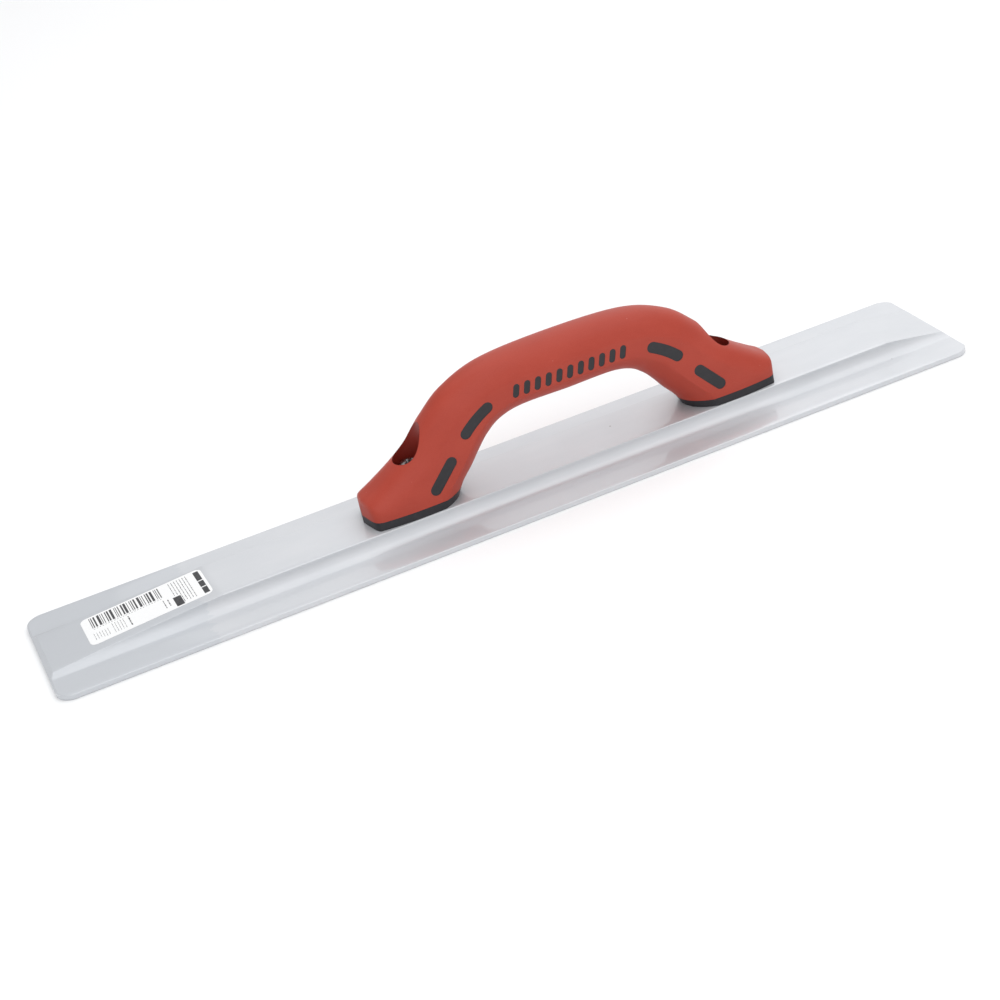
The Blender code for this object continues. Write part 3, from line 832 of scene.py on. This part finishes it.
def make_label(paper, ink):
    matrix = label_matrix()
    sheet = prism("label", round_rectangle(*LABEL_SIZE, LABEL_CORNER, 10), 2, 0, LABEL_THICKNESS)
    label = new_object("stock_label", sheet)
    label.data.transform(matrix)
    shade(label)
    finish_piece(label, paper, "label_paper", "label")
    print_ = new_object("label_print", several([printed_block(*block) for block in label_blocks()], "print"))
    print_.data.transform(matrix)
    finish_piece(print_, ink, "label_paper")


def printed_block(x, y, length, width):
    """A flat printed rectangle on the label, given by its middle and size in millimetres."""
    outline = [(x - length / 2, y - width / 2), (x + length / 2, y - width / 2),
               (x + length / 2, y + width / 2), (x - length / 2, y + width / 2)]
    outline = [(u * MM, v * MM) for u, v in outline]
    return prism("block", outline, 2, LABEL_THICKNESS - INK, LABEL_THICKNESS + INK)


def dash_line(x, top, bottom, width, phase):
    """A broken line across the label, like one line of small print that says nothing."""
    blocks = []
    while top - bottom > 0.6:
        length = min((1.7, 0.9, 2.4, 1.3, 0.6)[phase % 5], top - bottom)
        blocks.append((x, top - length / 2, width, length))
        top -= length + 0.5
        phase += 1
    return blocks


def label_blocks():
    """A bar pattern, a solid block, a strip and broken lines: generic print."""
    blocks = []
    x = -27.4
    for i in range(27):
        width = (0.35, 1.2, 0.5, 0.3, 0.8)[(i * 7) % 5]
        blocks.append((x + width / 2, 6.6, width, 9.6))
        x += width + (0.5, 1.1, 0.7)[(i * 5) % 3]
    blocks += [(-26.8 + 1.5 * i, 0.7, 0.7, 0.3) for i in range(24)]
    for i in range(6):
        blocks += dash_line(-28.2 + 1.4 * i, -3.2, -9.6, 0.2, i)
    for i in range(5):
        blocks += dash_line(-18.4 + 1.4 * i, -1.0, -10.0, 0.2, i + 2)
    blocks += dash_line(-10.0, -1.0, -10.2, 0.6, 1)
    blocks += dash_line(8.2, -1.4, -9.8, 0.4, 0) + dash_line(10.4, -2.4, -8.4, 0.5, 3)
    blocks.append((14.9, -7.3, 4.0, 8.8))
    for i in range(7):
        blocks += dash_line(14.4 + 1.5 * i, 11.0, -1.6 if i < 2 else -10.2, 0.3, i)
    for y, length in ((6.6, 8.8), (-1.4, 5.6), (-8.0, 6.0)):
        blocks.append((28.9, y, 2.8, length))
    return blocks


# ---------------------------------------------------------------- stage

def make_stage():
    """A pale floor under the float."""
    bm = bmesh.new()
    corners = ((-FLOOR_REACH, -FLOOR_REACH), (FLOOR_REACH, -FLOOR_REACH),
               (FLOOR_REACH, FLOOR_REACH), (-FLOOR_REACH, FLOOR_REACH))
    bm.faces.new([bm.verts.new((x, y, blade_low.z)) for x, y in corners])
    floor = new_object("studio_floor", mesh_from(bm, "floor"))
    n = Nodes("studio_paper", (0.94, 0.94, 0.94), 0.9, 0.0)
    n.use("Specular IOR Level", 0.1)
    floor.data.materials.append(n.material)


def area_light(name, place, aim, size, power):
    light = bpy.data.lights.new(name, "AREA")
    light.shape = "RECTANGLE"
    light.size, light.size_y = size
    light.energy = power
    made = bpy.data.objects.new(name, light)
    made.location = place
    made.rotation_euler = (Vector(aim) - Vector(place)).to_track_quat("-Z", "Y").to_euler()
    bpy.context.scene.collection.objects.link(made)


def make_lights():
    world = bpy.data.worlds.new("studio")
    world.use_nodes = True
    background = world.node_tree.nodes["Background"]
    background.inputs["Color"].default_value = (0.97, 0.98, 1.0, 1)
    background.inputs["Strength"].default_value = 0.50
    bpy.context.scene.world = world
    area_light("overhead_softbox", (0.5, 0.1, 1.7), (0, 0, 0), (3.0, 2.4), 26)
    area_light("key_softbox", (-0.9, -1.4, 1.4), (0, 0, 0.03), (2.0, 1.6), 9)
    area_light("front_softbox", (0.6, -2.1, 1.0), (0, 0, 0.03), (3.6, 1.6), 10)
    area_light("back_softbox", (1.7, 1.8, 1.0), (0, 0, 0.03), (4.0, 1.8), 14)
    area_light("left_softbox", (-2.2, 0.8, 0.6), (-0.2, 0, 0.03), (2.4, 1.2), 6.5)


def make_camera():
    camera = bpy.data.cameras.new("camera")
    camera.lens = CAMERA_LENS
    camera.sensor_width = 36
    camera.shift_x = CAMERA_SHIFT
    made = bpy.data.objects.new("camera", camera)
    level = (CAMERA_AIM - CAMERA_PLACE).to_track_quat("-Z", "Y").to_matrix().to_4x4()
    made.matrix_world = Matrix.Translation(CAMERA_PLACE) @ level @ Matrix.Rotation(CAMERA_ROLL, 4, "Z")
    bpy.context.scene.collection.objects.link(made)
    bpy.context.scene.camera = made


def main():
    make_camera()
    make_lights()
    make_stage()
    make_blade(magnesium_material())
    make_core(core_material())
    make_grip_skin(elastomer_material())
    steel = steel_material()
    make_washers(steel)
    make_screws(steel)
    make_label(paper_material(), ink_material())
    bpy.context.scene.view_settings.view_transform = "Standard"


main()
